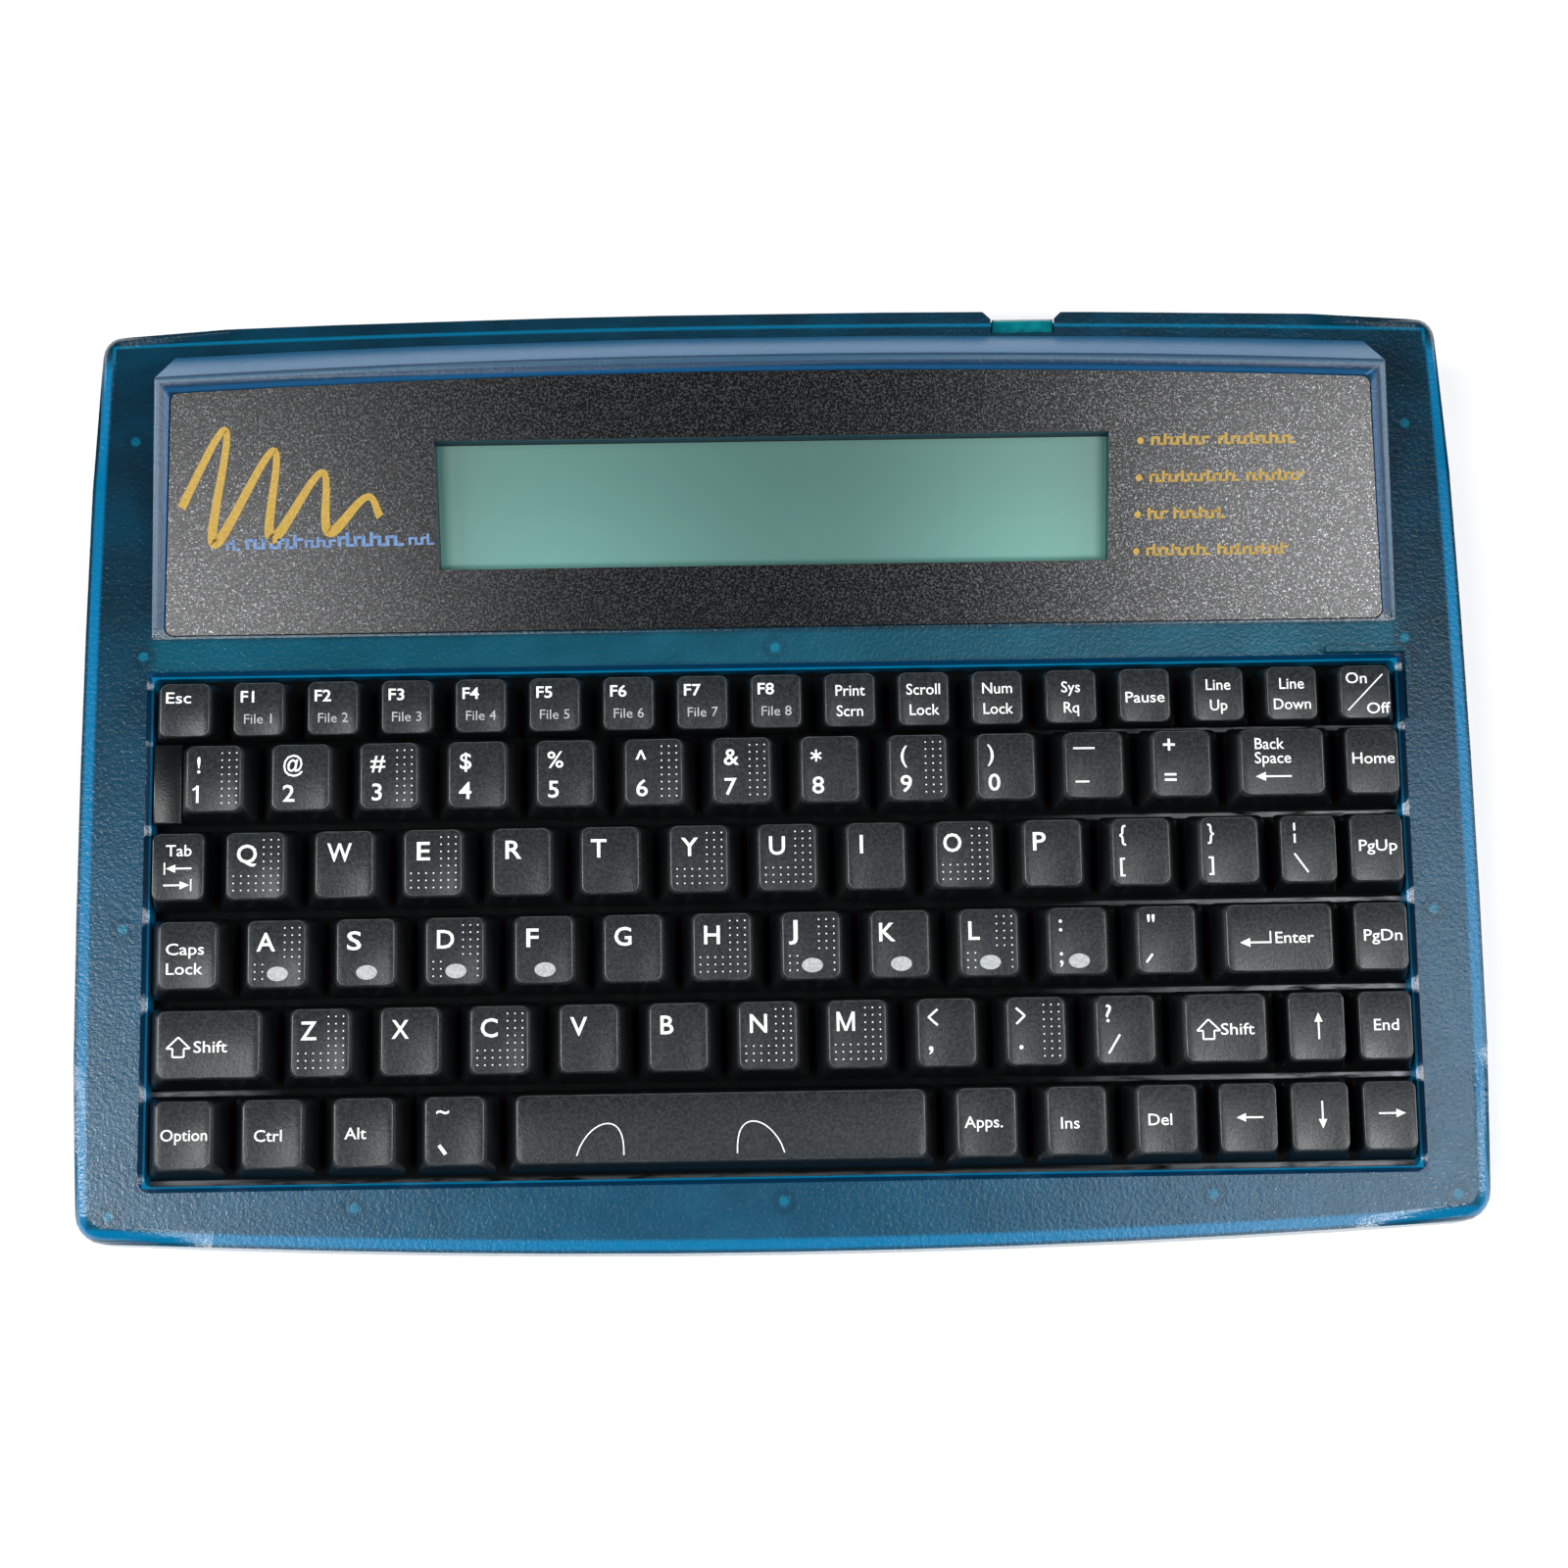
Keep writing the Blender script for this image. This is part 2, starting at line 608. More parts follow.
class Print:
    """The legends of one cap, laid on its top in ink. Places and sizes are in millimetres, but for dots."""

    def __init__(self, bm, name, half, half_depth, middle):
        self.bm = bm
        self.name = name
        self.size = (half, half_depth)
        self.middle = middle

    def lay(self, verts, faces, ink):
        """Drapes flat print over the top, face up and in its ink."""
        for vertex in verts:
            level = top_height(self.name, vertex.co.x, vertex.co.y, *self.size)
            vertex.co.z = level + INK_LIFT
            vertex.co.y += self.middle
        for face in faces:
            face.material_index = ink
            if face.normal.z < 0:
                face.normal_flip()

    def dot(self, x, y, wide, high, ink, sides):
        """A flat oval given by its centre and its two radii, in metres."""
        made = bmesh.ops.create_circle(self.bm, cap_ends=True, radius=1.0, segments=sides)["verts"]
        bmesh.ops.scale(self.bm, vec=(wide, high, 1.0), verts=made)
        bmesh.ops.translate(self.bm, vec=(x, y, 0.0), verts=made)
        self.bm.normal_update()
        self.lay(made, {f for v in made for f in v.link_faces}, ink)

    def patch(self, corners):
        """A small flat shape given by its corners, in millimetres from the top's centre."""
        verts = [self.bm.verts.new((x * MM, y * MM, 0.0)) for x, y in corners]
        face = self.bm.faces.new(verts)
        self.bm.normal_update()
        self.lay(verts, [face], WHITE)

    def stroke(self, start, end, thick):
        """A straight line of ink."""
        run = Vector((end[0] - start[0], end[1] - start[1])).normalized()
        side = Vector((-run.y, run.x)) * thick / 2
        corners = [Vector(start) + side, Vector(start) - side, Vector(end) - side, Vector(end) + side]
        self.patch([tuple(c) for c in corners])

    def arrow(self, tail, tip, head):
        """A straight arrow whose head has the given length."""
        run = Vector((tip[0] - tail[0], tip[1] - tail[1])).normalized()
        neck = Vector(tip) - run * head
        side = Vector((-run.y, run.x)) * head * 0.45
        self.stroke(tail, tuple(neck), ARROW_THICK)
        self.patch([tip, tuple(neck + side), tuple(neck - side)])

    def text(self, words, x, y, height, align="LEFT", bold=0.0, narrow=1.0, ink=WHITE):
        """Words on a baseline that starts at, or is centred on, a place from the top's centre."""
        curve = bpy.data.curves.new("legend", "FONT")
        curve.body = words
        curve.size = height * MM / CAPITAL_SHARE
        curve.align_x = align
        curve.offset = bold * MM
        curve.resolution_u = 3
        item = bpy.data.objects.new("legend", curve)
        bpy.context.scene.collection.objects.link(item)
        ready = item.evaluated_get(bpy.context.evaluated_depsgraph_get())
        mesh = bpy.data.meshes.new_from_object(ready)
        bpy.data.objects.remove(item)
        bpy.data.curves.remove(curve)
        squeeze = Matrix.Diagonal((narrow, 1.0, 1.0, 1.0))
        mesh.transform(Matrix.Translation((x * MM, y * MM, 0.0)) @ squeeze)
        before = len(self.bm.verts), len(self.bm.faces)
        self.bm.from_mesh(mesh)
        bpy.data.meshes.remove(mesh)
        self.bm.verts.ensure_lookup_table()
        self.bm.faces.ensure_lookup_table()
        self.bm.normal_update()
        self.lay(self.bm.verts[before[0]:], self.bm.faces[before[1]:], ink)


DOT_STEP = 1.6
DOT_ROW_STEP = DOT_STEP * 0.97
DOTS_RIGHT = 4.9
DOTS_TOP = 5.5
DOTS_LOW = DOTS_TOP - 5 * DOT_ROW_STEP


def dot_columns(legend, columns, rows, x, y):
    """A block of fine dots that runs left and down from a place."""
    for column in range(columns):
        for row in range(rows):
            spot = (x - column * DOT_STEP) * MM, (y - row * DOT_ROW_STEP) * MM
            legend.dot(*spot, DOT_SIZE, DOT_SIZE, WHITE, 6)


DOTTED_RIGHT = "one three six seven nine period".split()
DOTTED_CORNER = "q e y u o h z c n m".split()
DOTTED_SPLIT = "a d j l".split()
HOME_OVALS = "a s d f j k l semicolon".split()
SYMBOLS = {
    "one": "!1",
    "two": "@2",
    "three": "#3",
    "four": "$4",
    "five": "%5",
    "six": "^6",
    "seven": "&7",
    "eight": "*8",
    "nine": "(9",
    "zero": ")0",
}
PAIRS = {
    "equals": (("+", -4.2, 2.2, 3.9), ("=", -4.1, -4.9, 3.9)),
    "bracket_left": (("{", -4.7, 2.3, 3.4), ("[", -5.0, -4.4, 3.2)),
    "bracket_right": (("}", -4.7, 2.3, 3.4), ("]", -4.6, -4.4, 3.2)),
    "backslash": (("¦", -3.5, 2.4, 3.4),),
    "semicolon": ((":", -4.2, 2.1, 3.9), (";", -4.2, -4.9, 3.9)),
    "quote": (('"', -4.3, 1.0, 4.4),),
    "comma": ((",", -4.2, -3.8, 5.0),),
    "period": ((".", -4.0, -3.8, 5.0),),
    "slash": (("?", -4.5, 1.6, 3.9),),
    "tilde": (("~", -4.0, 2.6, 3.6),),
}


def star_spoke(turn):
    """One stroke of the asterisk, through its middle at the given turn."""
    x, y = 1.3 * math.cos(turn), 1.3 * math.sin(turn)
    return (-2.95 - x, 2.9 - y), (-2.95 + x, 2.9 + y), 0.42


STROKES = {
    "minus": (((-4.4, 3.6), (0.3, 3.6), 0.4), ((-4.1, -3.7), (-1.1, -3.7), 0.4)),
    "backslash": (((-3.1, -1.0), (-0.2, -5.1), 0.4),),
    "quote": (((-3.1, -3.1), (-4.5, -4.9), 0.5),),
    "comma": (((-1.9, 4.9), (-3.9, 3.2), 0.45), ((-3.9, 3.3), (-1.9, 1.5), 0.45)),
    "period": (((-4.2, 4.9), (-2.3, 3.2), 0.45), ((-2.3, 3.3), (-4.2, 1.5), 0.45)),
    "slash": (((-3.7, -5.1), (-1.2, -1.1), 0.45),),
    "tilde": (((-3.3, -3.0), (-1.9, -4.9), 0.75),),
    "m": (
        ((-4.1, 0.6), (-4.1, 4.7), 0.6),
        ((-4.0, 4.6), (-2.45, 0.7), 0.55),
        ((-2.45, 0.7), (-0.9, 4.6), 0.55),
        ((-0.8, 4.7), (-0.8, 0.6), 0.6),
    ),
    "one": (((-3.5, -1.5), (-3.5, -5.3), 0.55), ((-3.5, -1.8), (-4.5, -2.5), 0.45)),
    "eight": tuple(star_spoke(turn) for turn in (math.pi / 2, math.pi / 6, -math.pi / 6)),
    "power": (((-3.9, -4.1), (3.9, 3.8), 0.3),),
    "tab": (((-2.9, -1.7), (-2.9, 0.9), 0.3), ((2.8, -5.3), (2.8, -2.7), 0.3)),
    "enter": (((-1.9, 1.4), (-1.9, -1.2), 0.34),),
}
ARROWS = {
    "tab": (((2.9, -0.4), (-2.6, -0.4), 2.0), ((-3.1, -4.0), (2.4, -4.0), 2.0)),
    "enter": (((-1.7, -1.0), (-8.5, -1.0), 2.2),),
    "backspace": (((1.9, -3.2), (-5.9, -3.2), 2.2),),
    "arrow_up": (((0.4, -2.8), (0.4, 2.9), 2.0),),
    "arrow_left": (((3.2, 0.0), (-2.5, 0.0), 2.0),),
    "arrow_down": (((0.5, 3.2), (0.5, -2.6), 2.0),),
    "arrow_right": (((-2.4, 0.4), (3.3, 0.4), 2.0),),
}
SHIFT_MARKS = {"shift_left": (-6.4, -0.5), "shift_right": (-3.7, -0.3)}
WORDS = {
    "caps_lock": (("Caps", -4.8, 0.1, 1.2), ("Lock", -4.8, -4.1, 1.16)),
    "tab": (("Tab", -2.7, 2.3, 1.06),),
    "option": (("Option", -4.9, -1.2, 1.0),),
    "control": (("Ctrl", -4.0, -1.6, 1.08),),
    "alt": (("Alt", -4.0, -1.4, 1.07),),
    "apps": (("Apps.", -4.7, -1.2, 1.04),),
    "insert": (("Ins", -3.7, -1.7, 1.1),),
    "delete": (("Del", -4.3, -1.3, 1.1),),
    "home": (("Home", -4.6, -0.7, 1.08),),
    "page_up": (("PgUp", -4.1, -0.7, 1.15),),
    "page_down": (("PgDn", -4.0, -1.0, 1.14),),
    "end": (("End", -2.8, -1.1, 1.1),),
    "backspace": (("Back", -6.1, 2.8, 0.98), ("Space", -6.1, -0.3, 1.01)),
    "shift_left": (("Shift", -3.3, -1.7, 1.18),),
    "shift_right": (("Shift", -1.2, -1.5, 1.18),),
    "enter": (("Enter", -1.1, -1.2, 1.1),),
    "esc": (("Esc", -4.4, 1.5, 1.26),),
}
SMALL_WORDS = {
    "f9": ("Print", "Scrn"),
    "f10": ("Scroll", "Lock"),
    "f11": ("Num", "Lock"),
    "f12": ("Sys", "Rq"),
    "f13": ("Line", "Up"),
    "f14": ("Line", "Down"),
}
WORD_HEIGHT = 2.55
SMALL_HEIGHT = 2.5
LETTER_HEIGHT = 4.1
LETTER_LEFT = -4.2
LETTER_BASE = 0.6
DESCENDER_LIFT = 0.9
PLAIN_FIT = (1.0, 0.0)
LETTER_FITS = {
    "w": (0.87, 0.6),
    "e": (1.19, 0.3),
    "r": (1.1, 0.3),
    "y": (1.0, 0.5),
    "i": (1.0, 0.4),
    "o": (0.93, -0.5),
    "p": (1.1, -0.4),
    "s": (1.3, 0.0),
    "f": (1.19, 0.0),
    "j": (1.3, 0.0),
    "k": (1.0, -0.6),
    "l": (1.0, -0.5),
    "z": (0.92, 0.0),
    "x": (0.86, 0.4),
    "v": (1.0, 0.3),
}
ARC_STEPS = 16


def shift_mark(legend, x, y):
    """The hollow upward arrow that stands beside the word on a shift key."""
    outline = [(0, 2.1), (2.5, -0.3), (1.2, -0.3), (1.2, -2.1), (-1.2, -2.1), (-1.2, -0.3), (-2.5, -0.3)]
    points = [(x + px, y + py) for px, py in outline]
    for start, end in zip(points, points[1:] + points[:1]):
        legend.stroke(start, end, 0.36)


def thumb_arc(legend, x, way):
    """One of the two thin arches on the space bar, drawn as short strokes."""
    path = []
    for step in range(ARC_STEPS + 1):
        t = step / ARC_STEPS
        rise = math.sin(math.pi * t)
        path.append((x + way * (5.0 - 10.0 * t - 3.2 * rise * t), -5.7 + 6.7 * rise**0.8))
    for start, end in zip(path, path[1:]):
        legend.stroke(start, end, 0.27)


def print_words(name, legend):
    """Letters, symbols and words, by the key's name."""
    if len(name) == 1 and name not in STROKES:
        wide, shift = LETTER_FITS.get(name, PLAIN_FIT)
        base = LETTER_BASE + (DESCENDER_LIFT if name == "j" else 0.0)
        legend.text(name.upper(), LETTER_LEFT + shift, base, LETTER_HEIGHT, bold=0.07, narrow=wide)
    if name in SYMBOLS:
        symbol, digit = SYMBOLS[name]
        if symbol != "*":
            legend.text(symbol, -4.0, 1.2, 3.7, bold=0.04, narrow=0.88 if symbol == "@" else 1.05)
        if digit != "1":
            legend.text(digit, -4.0, -5.3, 3.8, bold=0.05, narrow=1.08)
    for mark, x, y, height in PAIRS.get(name, ()):
        legend.text(mark, x, y, height, bold=0.04)
    for words, x, y, narrow in WORDS.get(name, ()):
        legend.text(words, x, y, WORD_HEIGHT, bold=0.02, narrow=narrow)
    if name in SMALL_WORDS:
        upper, lower = SMALL_WORDS[name]
        legend.text(upper, 0.0, 0.9, SMALL_HEIGHT, "CENTER", 0.02, 0.98)
        legend.text(lower, 0.0, -3.6, SMALL_HEIGHT, "CENTER", 0.02, 0.98)
    elif name[0] == "f" and name[1:].isdigit():
        legend.text(name.upper(), -4.2, 1.5, 2.6, bold=0.05, narrow=1.12)
        legend.text(f"File {name[1:]}", 0.0, -3.2, 2.2, "CENTER", 0.0, 1.05, GREY)
    if name == "pause":
        legend.text("Pause", 0.0, -1.6, SMALL_HEIGHT, "CENTER", 0.02, 1.12)
    if name == "power":
        legend.text("On", -4.3, 1.9, SMALL_HEIGHT, bold=0.02, narrow=1.1)
        legend.text("Off", 0.1, -4.8, SMALL_HEIGHT, bold=0.02, narrow=1.1)


def print_marks(name, legend):
    """Strokes, arrows, blocks of dots and ovals, by the key's name."""
    for start, end, thick in STROKES.get(name, ()):
        legend.stroke(start, end, thick)
    for tail, tip, head in ARROWS.get(name, ()):
        legend.arrow(tail, tip, head)
    if name in SHIFT_MARKS:
        shift_mark(legend, *SHIFT_MARKS[name])
    if name in DOTTED_RIGHT + DOTTED_CORNER:
        dot_columns(legend, 3, 8, DOTS_RIGHT, DOTS_TOP)
    if name in DOTTED_CORNER:
        dot_columns(legend, 4, 3, DOTS_RIGHT - 3 * DOT_STEP, DOTS_LOW)
    if name in DOTTED_SPLIT:
        dot_columns(legend, 3, 5, DOTS_RIGHT, DOTS_TOP)
        dot_columns(legend, 1, 3, DOTS_RIGHT, DOTS_LOW)
        dot_columns(legend, 2, 3, -3.0, DOTS_LOW)
    if name in HOME_OVALS:
        legend.dot(0.2 * MM, -4.3 * MM, OVAL_HALF_WIDTH, OVAL_HALF_HEIGHT, GREY, 28)
    if name == "space":
        thumb_arc(legend, -25.6, -1)
        thumb_arc(legend, 8.4, 1)


fixed_caps = bmesh.new()
for name, x, y, width, depth in key_places():
    moving = f"key_{name}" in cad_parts
    cap_x, cap_width = x, width
    if name == "one":
        cap_x += SHELF_WIDTH / 2
        cap_width -= SHELF_WIDTH
    cap, *top = shape_cap(name, cap_width, depth)
    legend = Print(cap, name, *top)
    print_words(name, legend)
    print_marks(name, legend)
    if name == "one":
        left = -cap_width / 2 - SHELF_WIDTH
        right = left + SHELF_WIDTH + SHELF_OVERLAP
        shelf = block(cap, left, right, -depth / 2, depth / 2, CAP_SKIRT, CAP_SKIRT + SHELF_HEIGHT)
        upper = [v for v in shelf if v.co.z > CAP_SKIRT + 1 * MM]
        edges = {e for v in upper for e in v.link_edges if e.other_vert(v) in upper}
        rounded(cap, list(edges), SHELF_ROUND, 2)
    bmesh.ops.translate(cap, vec=(cap_x, y, 0.0), verts=cap.verts)
    if moving:
        piece = settle(cap, f"cap_{name}", CAP_FINISHES, CAP_CREASE)
        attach(piece, f"key_{name}_body")
        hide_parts(f"key_{name}")
    else:
        loose = bpy.data.meshes.new("loose")
        cap.to_mesh(loose)
        cap.free()
        fixed_caps.from_mesh(loose)
        bpy.data.meshes.remove(loose)
fixed_bank = settle(fixed_caps, "fixed_caps", CAP_FINISHES, CAP_CREASE)
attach(fixed_bank, "housing")


# Upper shell
# The deck, the display hump and the key well are one tinted moulding. Light that enters at its edges
# comes out again as a bright line along the rim and round the well, and the screw posts under the deck
# show through as pale dots.

WELL_HALF = 136.2 * MM
WELL_FRONT = -84.225 * MM
WELL_REAR = 25.65 * MM
HUMP_FRONT = 34.3 * MM
HUMP_TOP = 88.0 * MM
HUMP_SLOPE = 18.0 * MM / (HUMP_TOP - HUMP_FRONT)
HUMP_HALF = 136.8 * MM
HUMP_NARROWING = 4.1 * MM / (HUMP_TOP - HUMP_FRONT)
HUMP_BOW = 2.9 * MM
POSTS = (
    (0.0, -89.4),
    (91.4, -89.4),
    (143.5, -90.3),
    (141.6, -29.3),
    (138.4, 30.45),
    (0.0, 30.45),
    (141.0, 79.0),
)
DARK_TEAL = paint(6, 36, 50)
FRONT_BLUE = paint(14, 64, 88)
POST_TEAL = paint(0, 124, 152)
WELL_BLUE = paint(0, 112, 156)
RIM_BLUE = paint(0, 46, 76)

deck_blue = Finish("deck_blue", Specular_IOR_Level=0.5, IOR=1.5)
x, rear, up = deck_place(deck_blue)
gap = outline_gap(x, rear)
cloud = deck_blue.noise(16 * MM, 3.0)
fine_cloud = deck_blue.noise(9 * MM, 3.0)
toward_front = 1 - rear.fade(-40 * MM, 40 * MM)
tint = deck_blue.mix(cloud.fade(0.3, 0.75), DARK_TEAL, paint(4, 50, 70))
front_tint = deck_blue.mix(fine_cloud.fade(0.3, 0.75), FRONT_BLUE, paint(18, 72, 98))
tint = deck_blue.mix(toward_front, tint, front_tint)
strip = rear.band(26 * MM, 28 * MM, 33 * MM, 35 * MM) * (1 - abs(x).fade(134 * MM, 139 * MM))
tint = deck_blue.mix(strip, tint, deck_blue.mix(cloud.fade(0.3, 0.75), paint(0, 64, 82), paint(8, 76, 96)))
for post_x, post_y in POSTS:
    reach = ((abs(x) - post_x * MM) ** 2 + (rear - post_y * MM) ** 2) ** 0.5
    tint = deck_blue.mix(reach.band(1.0 * MM, 1.9 * MM, 2.5 * MM, 3.1 * MM) * 0.3, tint, DARK_TEAL)
    tint = deck_blue.mix((1 - reach.fade(0.7 * MM, 1.3 * MM)) * 0.45, tint, POST_TEAL)
along_rear = rear.fade(CASE_REAR - 9 * MM, CASE_REAR - 4 * MM)
side_glow = gap.band(0.4 * MM, 1.0 * MM, 2.3 * MM, 3.3 * MM) * (1 - along_rear)
rear_glow = gap.band(2.5 * MM, 2.9 * MM, 3.2 * MM, 3.7 * MM) * along_rear
tint = deck_blue.mix(side_glow, tint, EDGE_BLUE)
tint = deck_blue.mix(rear_glow * 0.8, tint, paint(0, 96, 130))
well_gap = (abs(x) - WELL_HALF).most(WELL_FRONT - rear).most(rear - WELL_REAR)
tint = deck_blue.mix(1 - well_gap.fade(1.2 * MM, 1.5 * MM), tint, RIM_BLUE)
tint = deck_blue.mix(1 - well_gap.fade(0.2 * MM, 0.5 * MM), tint, WELL_BLUE)
below_deck = 1 - up.fade(-3.6 * MM, -2.6 * MM)
wall_tint = deck_blue.mix(up.fade(-12 * MM, -5 * MM), paint(0, 72, 104), paint(10, 92, 128))
tint = deck_blue.mix(below_deck * (1 - gap.fade(0.2 * MM, 0.8 * MM)), tint, wall_tint)
on_hump = up.fade(0.3 * MM, 1.0 * MM) * rear.fade(HUMP_FRONT - 0.2 * MM, HUMP_FRONT + 0.2 * MM)
share = x / HUMP_HALF
crest = HUMP_TOP + (1 - share**2) * HUMP_BOW
side_edge = HUMP_HALF - (rear - HUMP_FRONT) * HUMP_NARROWING - abs(x)
rim_gap = side_edge.least(crest - rear)
rim_tint = deck_blue.mix(rim_gap.band(2.3 * MM, 2.6 * MM, 3.2 * MM, 3.4 * MM), RIM_BLUE, paint(0, 72, 116))
rim_tint = deck_blue.mix(rim_gap.band(0.2 * MM, 0.5 * MM, 1.1 * MM, 1.5 * MM), rim_tint, paint(46, 80, 104))
rim_tint = deck_blue.mix(1 - rim_gap.fade(-0.5 * MM, 0.1 * MM), rim_tint, paint(0, 92, 136))
tint = deck_blue.mix(on_hump, tint, rim_tint)
deck_blue.colour(tint)
deck_grain = deck_blue.noise(0.9 * MM, 2.0, roughness=0.7)
deck_blue.rough(0.14 + deck_grain * 0.1 + on_hump * 0.2)
deck_blue.relief(deck_grain, 0.12 * MM, 0.9)
upper_shell = welded_copy("upper_case", "upper_shell", SHELL_CREASE)
wear(upper_shell, deck_blue, "housing")


# Infrared window
# A clear blue-green pane set in the notch of the rear edge, polished and brighter than the case.

ir_pane = Finish("ir_pane", Roughness=0.12, Coat_Weight=0.5)
depth_tint = ir_pane.noise(3 * MM, 2.0)
ir_pane.colour(ir_pane.mix(depth_tint.fade(0.3, 0.7), paint(0, 78, 90), paint(6, 108, 116)))
dress(ir_pane, "ir_window")


# Display glass and frame
# A reflective liquid crystal pane, grey-green and slightly uneven, behind a blackened steel frame.

lcd_face = Finish("lcd_face", IOR=1.5, Coat_Weight=0.4, Coat_Roughness=0.3)
x, rear, _ = deck_place(lcd_face)
across = x.fade(-75 * MM, 75 * MM)
along = rear.fade(46 * MM, 74 * MM)
left_tint = lcd_face.mix(along, paint(84, 136, 128), paint(66, 114, 106))
right_tint = lcd_face.mix(along, paint(90, 146, 135), paint(72, 120, 111))
haze = lcd_face.noise(24 * MM, 2.0)
tint = lcd_face.mix(across * 0.8 + haze * 0.2, left_tint, right_tint)
dimmed = lcd_face.mix(along, paint(54, 96, 90), paint(46, 88, 82))
lcd_face.colour(lcd_face.mix(x.band(-55 * MM, 5 * MM, 12 * MM, 62 * MM) * 0.8, tint, dimmed))
fibres = lcd_face.noise(0.5 * MM, 2.0, (1.0, 0.15, 1.0))
lcd_face.rough(0.32 + fibres * 0.1)
dress(lcd_face, "lcd_glass")

black_steel = Finish("black_steel", Metallic=0.4)
scuffs = black_steel.noise(2 * MM, 3.0)
black_steel.colour(black_steel.mix(scuffs.fade(0.4, 0.8), paint(20, 22, 22), paint(44, 46, 46)))
black_steel.rough(0.4 + scuffs * 0.2)
dress(black_steel, "lcd_frame")


# Display panel
# A thin black overlay with a fine metallic fleck, glued into the hump's recess. It is printed with a
# plain yellow pen stroke over a blue row of marks, and with four yellow points. Rows of marks stand where
# small print would be.

PRINT_DROP = 0.126492 * MM

panel_fleck = Finish("panel_fleck", Specular_IOR_Level=0.45)
fleck = panel_fleck.noise(0.55 * MM, 3.0, roughness=0.75)
fine_fleck = panel_fleck.noise(0.26 * MM, 2.0, roughness=0.8)
sparkle = (fleck * 0.5 + fine_fleck * 0.5).fade(0.52, 0.62)
panel_fleck.colour(panel_fleck.mix(sparkle, paint(2, 4, 6), paint(122, 122, 124)))
panel_fleck.metal(sparkle * 0.9)
panel_fleck.rough(0.2 - sparkle * 0.03)
panel_fleck.relief(fleck + fine_fleck, 0.018 * MM, 0.7)
dress(panel_fleck, "display_panel")

yellow_print = Finish("yellow_print", Roughness=0.45)
patchy = yellow_print.noise(0.5 * MM, 2.0)
yellow_print.colour(yellow_print.mix(patchy.fade(0.35, 0.7), paint(158, 126, 36), paint(180, 146, 42)))
blue_print = Finish("blue_print", Roughness=0.45)
patchy = blue_print.noise(0.5 * MM, 2.0)
blue_print.colour(blue_print.mix(patchy.fade(0.35, 0.7), paint(78, 112, 160), paint(110, 144, 190)))
YELLOW_INK, BLUE_INK = range(2)


def on_panel(bm):
    """Lays flat print on the overlay's slope."""
    for vertex in bm.verts:
        vertex.co.z = (vertex.co.y - HUMP_FRONT) * HUMP_SLOPE - PRINT_DROP


def ribbon(bm, path, widths, ink):
    """A pen stroke of changing width along a path, in millimetres."""
    sides = []
    for index, point in enumerate(path):
        before = Vector(path[max(index - 1, 0)])
        after = Vector(path[min(index + 1, len(path) - 1)])
        run = (after - before).normalized()
        off = Vector((-run.y, run.x)) * widths[index] / 2
        places = [Vector(point) + off, Vector(point) - off]
        sides.append([bm.verts.new((place.x * MM, place.y * MM, 0.0)) for place in places])
    for (a, b), (c, d) in zip(sides, sides[1:]):
        bm.faces.new((a, b, d, c)).material_index = ink


MARK_HEIGHTS = (0.72, 1.0, 0.72, 0.72, 1.0, 0.72, 0.72)


def greeked(bm, x, y, length, height, ink):
    """A short run of upright marks with feet, which stands where a word of small print would be."""
    step = 0.6 * height
    for index in range(round(length / step)):
        left = x + index * step
        tall = height * MARK_HEIGHTS[(index + round(length)) % len(MARK_HEIGHTS)]
        ribbon(bm, [(left, y), (left, y + tall)], [0.27 * height] * 2, ink)
        foot = y + 0.08 * height if index % 2 else y + 0.64 * height
        ribbon(bm, [(left, foot), (left + step, foot)], [0.2 * height] * 2, ink)


panel_print = bmesh.new()
SWINGS = 3.6
FIRST_TURN = 1.2
STEPS = 120
SLANT = 0.42
WAVE_LEFT = -126.5
WAVE_LENGTH = 44.0
WAVE_MIDDLE = 66.0
WAVE_FALL = 6.5
SWING_HEIGHT = 11.0
LEAST_SWING = 1.6
PEN_WIDTH = 1.75
PEN_CHANGE = 0.35
path, widths = [], []
for step in range(STEPS + 1):
    t = step / STEPS
    turn = 2 * math.pi * SWINGS * t + FIRST_TURN
    swing = SWING_HEIGHT * (1 - t) ** 0.8 + LEAST_SWING
    y = WAVE_MIDDLE - WAVE_FALL * t - swing * math.cos(turn)
    path.append((WAVE_LEFT + WAVE_LENGTH * t + SLANT * (y - WAVE_MIDDLE), y))
    widths.append(PEN_WIDTH + PEN_CHANGE * math.cos(turn))
ribbon(panel_print, path, widths, YELLOW_INK)
start = -118.9
for index, length in enumerate((3.0, 11.5, 6.0, 14.0, 5.0)):
    greeked(panel_print, start, 52.6 + 0.15 * index, length, 2.9 if index % 2 else 2.2, BLUE_INK)
    start += length + 1.3
LINE_WORDS = ((13.0, 17.0), (19.5, 13.0), (4.0, 11.3), (14.0, 14.7))
FIRST_LINE = 72.3
LINE_STEP = 7.58
for index, lengths in enumerate(LINE_WORDS):
    y = FIRST_LINE - LINE_STEP * index
    spot = bmesh.ops.create_circle(panel_print, cap_ends=True, radius=0.7 * MM, segments=16)["verts"]
    bmesh.ops.translate(panel_print, vec=((79.9 - 0.2 * index) * MM, y * MM, 0.0), verts=spot)
    start = 82.5 - 0.25 * index
    for length in lengths:
        greeked(panel_print, start, y - 0.9, length, 2.3, YELLOW_INK)
        start += length + 1.6
on_panel(panel_print)
bmesh.ops.recalc_face_normals(panel_print, faces=panel_print.faces)
for face in panel_print.faces:
    if face.normal.z < 0:
        face.normal_flip()
print_layer = settle(panel_print, "panel_print", [yellow_print, blue_print])
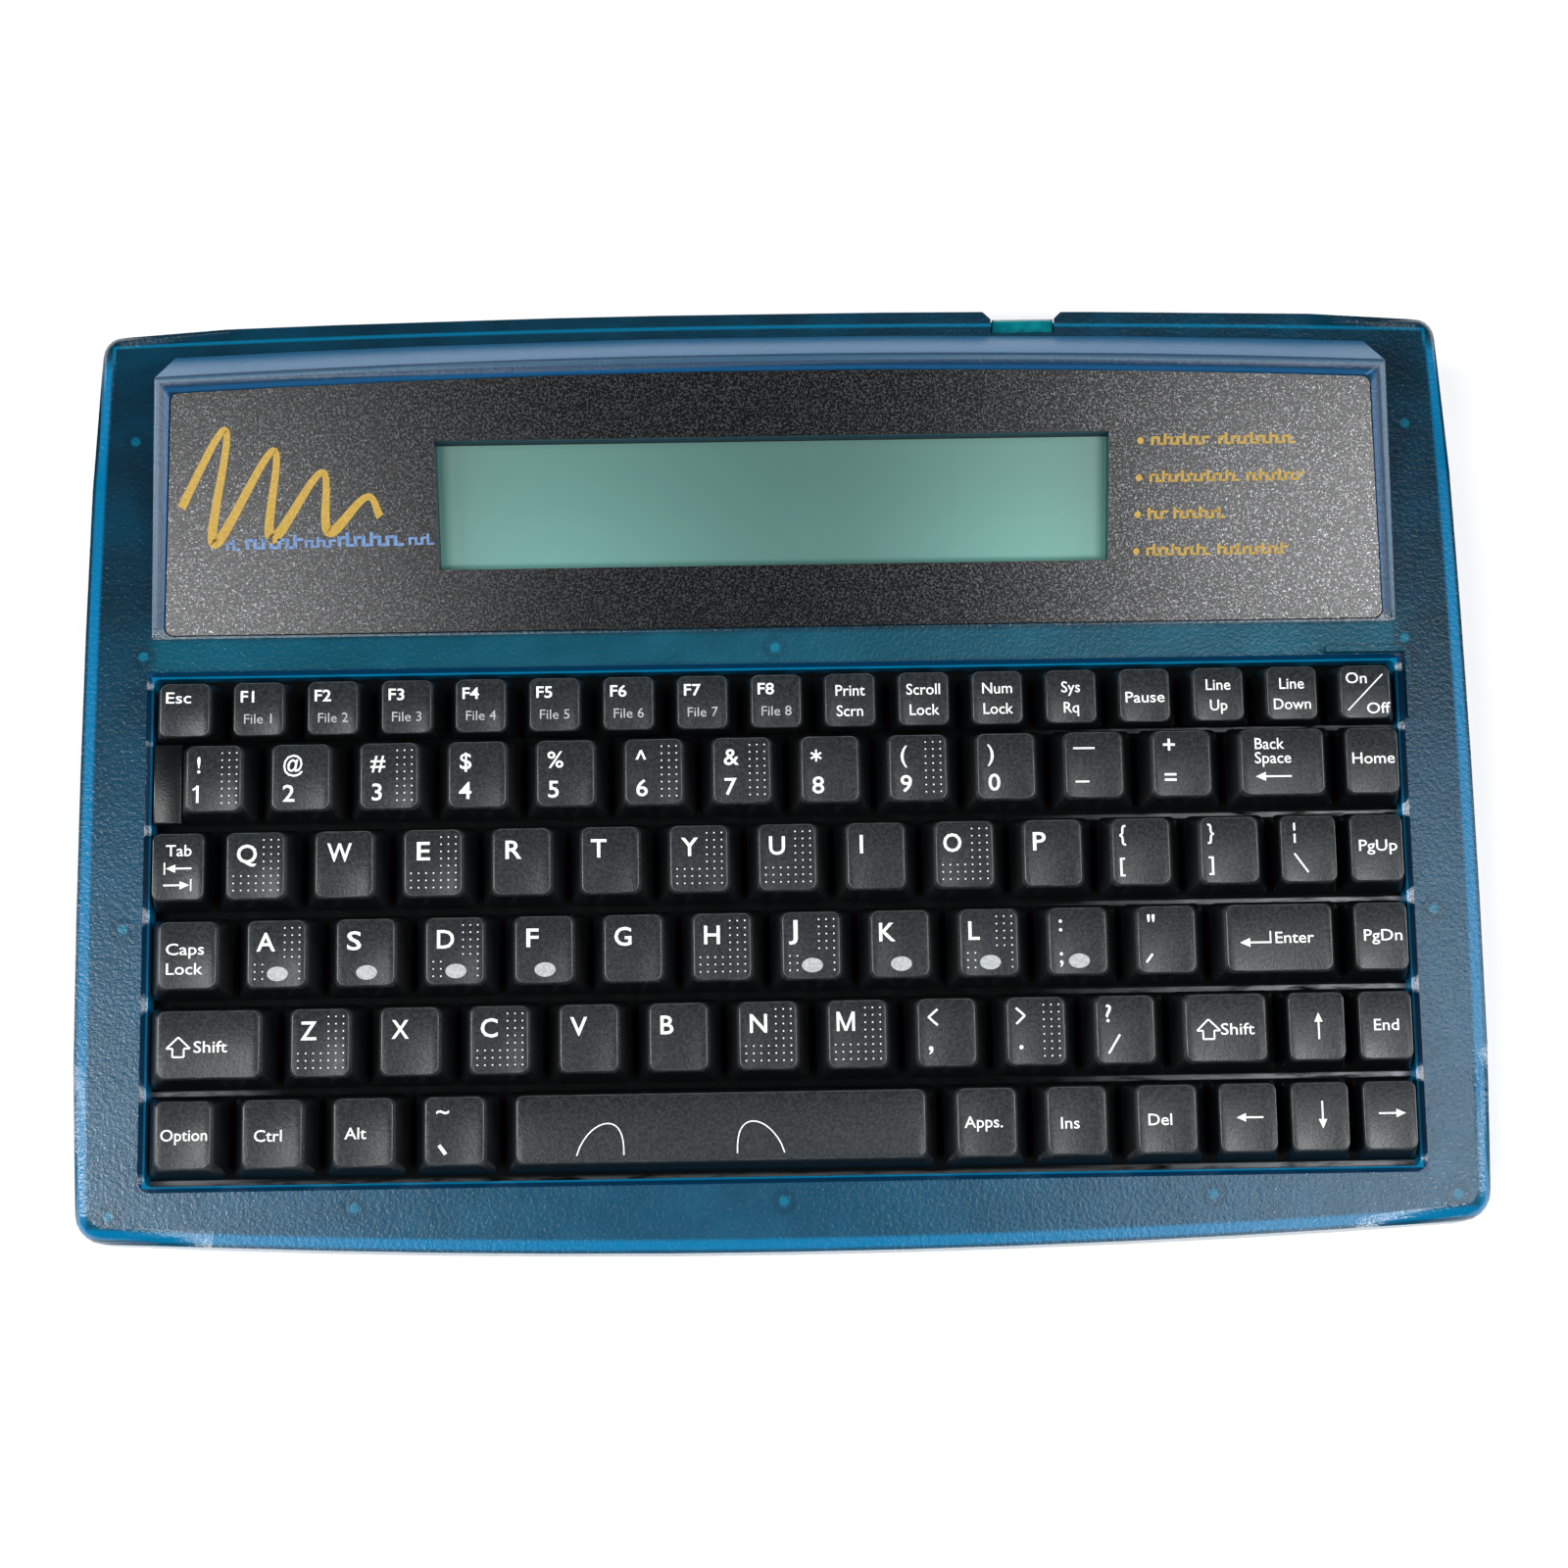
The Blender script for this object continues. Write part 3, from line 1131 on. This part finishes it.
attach(print_layer, "housing")


# Stage
# A plain white floor under soft lights that hang overhead, with more at both sides and the rear, seen by
# a camera almost straight above, as for a catalogue.

FLOOR_HALF = 3.0
FLOOR_DROP = 0.2 * MM

floor_white = Finish("floor_white", Roughness=0.9)
mottle = floor_white.noise(60 * MM, 1.0)
floor_white.colour(floor_white.mix(mottle, paint(252, 252, 252), paint(254, 254, 254)))
sweep = bmesh.new()
bmesh.ops.create_grid(sweep, x_segments=1, y_segments=1, size=FLOOR_HALF)
floor_mesh = bpy.data.meshes.new("floor")
sweep.to_mesh(floor_mesh)
sweep.free()
floor_mesh.materials.append(floor_white.material)
floor = bpy.data.objects.new("floor", floor_mesh)
floor.location.z = -FLOOR_DROP
bpy.context.scene.collection.objects.link(floor)

world = bpy.data.worlds.new("studio")
bpy.context.scene.world = world
world.use_nodes = True
world.node_tree.nodes["Background"].inputs["Color"].default_value = (1.0, 1.0, 1.0, 1.0)
world.node_tree.nodes["Background"].inputs["Strength"].default_value = 0.02
bpy.context.scene.view_settings.view_transform = "Standard"


def soft_light(name, place, aim, wide, high, power):
    """A rectangular lamp, with its sizes in metres and its power in watts."""
    lamp = bpy.data.lights.new(name, "AREA")
    lamp.shape = "RECTANGLE"
    lamp.size = wide
    lamp.size_y = high
    lamp.energy = power
    item = bpy.data.objects.new(name, lamp)
    item.location = place
    item.rotation_euler = (Vector(aim) - Vector(place)).to_track_quat("-Z", "Y").to_euler()
    bpy.context.scene.collection.objects.link(item)


CEILING = 1.3
OVERHEAD = (
    ("left_box", -0.84, -0.34, 0.33, 0.4, 7.5),
    ("right_box", 0.84, -0.6, 0.33, 0.4, 10.0),
    ("left_strip", -0.54, -0.21, 0.4, 0.3, 1.5),
    ("right_strip", 0.46, -0.13, 0.4, 0.34, 1.9),
    ("upper_right", 0.29, 0.17, 0.22, 0.16, 0.2),
    ("centre_glow", 0.1, 0.12, 0.7, 0.3, 0.22),
    ("left_panel", -0.55, -0.74, 0.42, 0.36, 4.2),
    ("right_panel", 0.52, -0.64, 0.4, 0.36, 3.8),
)
for name, x, y, *shape in OVERHEAD:
    soft_light(name, (x, y, CEILING), (x, y, 0.0), *shape)
CENTRE = (0.0, 0.0, 0.0)
soft_light("rear_fill", (0.0, 1.4, 0.8), CENTRE, 1.2, 0.5, 6.0)
soft_light("left_fill", (-1.45, 0.0, 0.72), CENTRE, 0.5, 1.0, 22.0)
soft_light("right_fill", (1.45, 0.0, 0.72), CENTRE, 0.5, 1.0, 15.0)

CAMERA_PLACE = Vector((-2.3, -74.0, 525.0)) * MM
CAMERA_TURN = Vector((math.radians(8.04), math.radians(-0.34), math.radians(-0.94)))
SENSOR_WIDTH = 36.0
FOCAL_SHARE = 2486 / 1600
camera_data = bpy.data.cameras.new("catalogue")
camera_data.sensor_width = SENSOR_WIDTH
camera_data.lens = FOCAL_SHARE * SENSOR_WIDTH
camera_data.clip_start = 0.01
camera = bpy.data.objects.new("catalogue", camera_data)
turn = Matrix.Rotation(CAMERA_TURN.length, 4, CAMERA_TURN.normalized())
camera.matrix_world = DECK @ Matrix.Translation(CAMERA_PLACE) @ turn
bpy.context.scene.collection.objects.link(camera)
bpy.context.scene.camera = camera
